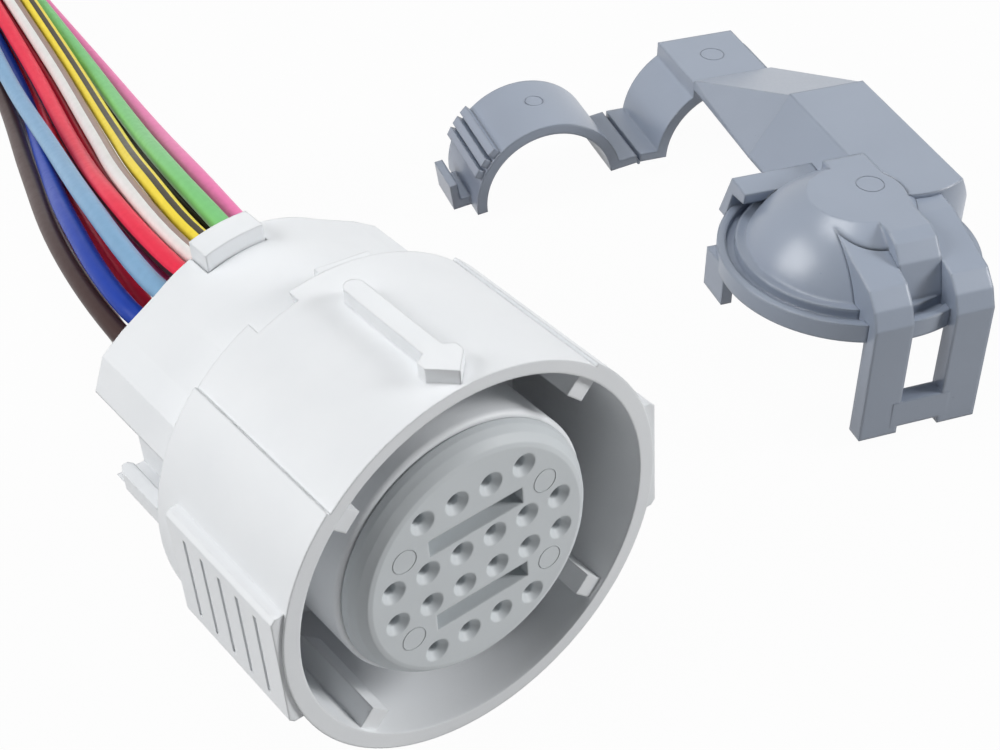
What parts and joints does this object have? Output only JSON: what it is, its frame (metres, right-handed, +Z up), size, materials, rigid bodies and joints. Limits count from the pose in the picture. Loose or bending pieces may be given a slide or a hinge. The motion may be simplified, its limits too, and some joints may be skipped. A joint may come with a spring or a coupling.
{
  "type": "connector pigtail",
  "caption": "Round sealed multi-way harness connector with loose coloured leads, and its separate wire cover with a folding conduit clamp.",
  "frame": {"origin": "on the mating axis, halfway along the smooth tower wall that the mating part slides on", "axes": "-Y points out of the mouth towards the mating part, +Z is up with the arrow on top, +X is to the right seen from the mouth"},
  "size_m": [0.1266, 0.1891, 0.046],
  "materials": {
    "white_nylon": "satin",
    "grey_nylon": "satin",
    "seal_silicone": "matte",
    "grommet_silicone": "matte",
    "contact_brass": "satin",
    "plug_nylon": "satin",
    "cover_nylon": "satin",
    "brown_insulation": "satin",
    "white_insulation": "satin",
    "blue_insulation": "satin",
    "red_insulation": "satin",
    "light_blue_insulation": "satin",
    "magenta_insulation": "satin",
    "red_black_insulation": "satin",
    "dark_red_insulation": "satin",
    "tan_insulation": "satin",
    "yellow_insulation": "satin",
    "black_insulation": "satin",
    "green_insulation": "satin",
    "pink_insulation": "satin"
  },
  "bodies": {
    "connector": {"connector_shell": "white_nylon", "inner_body": "white_nylon", "seal_retainer": "white_nylon", "face_plate": "grey_nylon", "ring_seal": "seal_silicone", "rear_grommet": "grommet_silicone", "socket_contacts": "contact_brass", "cavity_plugs": "plug_nylon", "cover_dome": "cover_nylon", "cover_arm": "cover_nylon", "cover_latch": "cover_nylon", "cover_clamp": "cover_nylon", "lead_brown": "brown_insulation", "lead_white": "white_insulation", "lead_blue": "blue_insulation", "lead_red": "red_insulation", "lead_light_blue": "light_blue_insulation", "lead_magenta": "magenta_insulation", "lead_red_black": "red_black_insulation", "lead_dark_red": "dark_red_insulation", "lead_tan": "tan_insulation", "lead_yellow": "yellow_insulation", "lead_black": "black_insulation", "lead_green": "green_insulation", "lead_pink": "pink_insulation"},
    "strap": {"clamp_strap": "cover_nylon"}
  },
  "joints": [
    {"name": "strap_fold", "type": "hinge", "parent": "connector", "child": "strap", "pos_m": [0.07828, 0.06134, -0.01962], "axis": [-0.309, -0.9511, 0], "range_deg": [-9, 171]}
  ]
}
